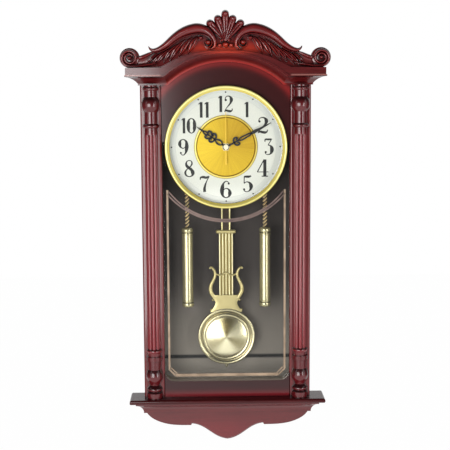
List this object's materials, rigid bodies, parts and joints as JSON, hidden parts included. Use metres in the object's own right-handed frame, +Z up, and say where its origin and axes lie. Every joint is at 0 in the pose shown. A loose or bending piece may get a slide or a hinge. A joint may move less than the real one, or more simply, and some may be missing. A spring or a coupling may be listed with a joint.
{
  "type": "wall clock",
  "caption": "Carved wooden wall clock with an arched cornice, round white dial, glazed case, swinging lyre pendulum and hanging tube weights.",
  "frame": {"origin": "centre of the hanging keyhole's round entry, on the back plane that rests on the wall", "axes": "+Z up, +Y into the wall, so the dial looks along -Y; +X to the right seen from the front"},
  "size_m": [0.311, 0.087, 0.648],
  "materials": {
    "case_wood": "high-gloss lacquer, shaded dark at the edges",
    "back_panel": "plain matt fibreboard",
    "window_glass": "clear, with printed bronze lines",
    "lens_glass": "clear",
    "dial_white": "smooth off-white enamel",
    "gilt": "bright gilt",
    "hand_black": "satin black",
    "movement_plastic": "fine texture",
    "wheel_plastic": "smooth",
    "steel": "zinc plated",
    "circuit": "satin",
    "battery_jacket": "satin",
    "copper": "enamelled wire",
    "brass": "polished and lacquered"
  },
  "bodies": {
    "case": {"apron": "case_wood", "arch_panel": "case_wood", "back_board": "back_panel", "base_cove": "case_wood", "base_shelf": "case_wood", "battery": "battery_jacket", "battery_contacts": "steel", "bezel": "gilt", "bottom_rail": "case_wood", "case_floor_board": "case_wood", "case_screws": "steel", "case_side_left": "case_wood", "case_side_right": "case_wood", "case_top_board": "case_wood", "circuit_board": "circuit", "column_left": "case_wood", "column_right": "case_wood", "cornice_arch": "case_wood", "cornice_end_left": "case_wood", "cornice_end_right": "case_wood", "crest": "case_wood", "dial_lens": "lens_glass", "dial_medallion": "gilt", "dial_pan": "dial_white", "dial_plate": "dial_white", "glass_clips": "steel", "glass_pane": "window_glass", "hand_nut": "gilt", "hanger_plate": "steel", "motor_can": "steel", "movement_cover": "movement_plastic", "movement_housing": "movement_plastic", "movement_screws": "steel", "pendulum_coil": "copper", "stile_left": "case_wood", "stile_right": "case_wood", "weight_hooks": "brass"},
    "minute": {"minute_hand": "hand_black", "minute_arbor": "wheel_plastic"},
    "hour": {"hour_hand": "hand_black", "hour_wheel": "wheel_plastic"},
    "second": {"second_hand": "gilt", "second_arbor": "steel"},
    "third": {"third_wheel": "wheel_plastic"},
    "motion": {"motion_wheel": "wheel_plastic"},
    "knob": {"setting_knob": "movement_plastic"},
    "pendulum": {"pendulum_hanger": "brass", "pendulum_magnet": "steel", "pendulum_rods": "brass", "pendulum_crossbar": "brass", "pendulum_grid": "brass", "pendulum_lyre": "brass", "bob_rim": "brass", "bob_dish": "brass"},
    "left_weight": {"left_weight_chain": "brass", "left_weight_caps": "brass", "left_weight_tube": "brass"},
    "right_weight": {"right_weight_chain": "brass", "right_weight_caps": "brass", "right_weight_tube": "brass"}
  },
  "joints": [
    {"name": "minute_spin", "type": "hinge", "parent": "case", "child": "minute", "pos_m": [0, -0.06, -0.085], "axis": [0, 1, 0], "continuous": true},
    {"name": "hour_spin", "type": "hinge", "parent": "case", "child": "hour", "pos_m": [0, -0.06, -0.085], "axis": [0, 1, 0], "continuous": true},
    {"name": "second_spin", "type": "hinge", "parent": "case", "child": "second", "pos_m": [0, -0.06, -0.085], "axis": [0, 1, 0], "continuous": true},
    {"name": "third_spin", "type": "hinge", "parent": "case", "child": "third", "pos_m": [-0.00815, -0.06, -0.07685], "axis": [0, 1, 0], "continuous": true},
    {"name": "motion_spin", "type": "hinge", "parent": "case", "child": "motion", "pos_m": [0.00848, -0.06, -0.09348], "axis": [0, 1, 0], "continuous": true},
    {"name": "knob_spin", "type": "hinge", "parent": "case", "child": "knob", "pos_m": [0.01697, -0.06, -0.10197], "axis": [0, 1, 0], "continuous": true},
    {"name": "pendulum_swing", "type": "hinge", "parent": "case", "child": "pendulum", "pos_m": [0, -0.024, -0.131], "axis": [0, 1, 0], "range_deg": [-7, 7]},
    {"name": "left_weight_swing", "type": "hinge", "parent": "case", "child": "left_weight", "pos_m": [-0.0592, -0.042, -0.131], "axis": [0, 1, 0], "range_deg": [-6, 6]},
    {"name": "right_weight_swing", "type": "hinge", "parent": "case", "child": "right_weight", "pos_m": [0.0592, -0.042, -0.131], "axis": [0, 1, 0], "range_deg": [-6, 6]}
  ],
  "couplings": [
    {"joint": "hour_spin", "follows": "minute_spin", "ratio": 0.083333},
    {"joint": "second_spin", "follows": "minute_spin", "ratio": 60},
    {"joint": "third_spin", "follows": "minute_spin", "ratio": -8},
    {"joint": "motion_spin", "follows": "minute_spin", "ratio": -0.33333},
    {"joint": "knob_spin", "follows": "minute_spin", "ratio": 1}
  ]
}
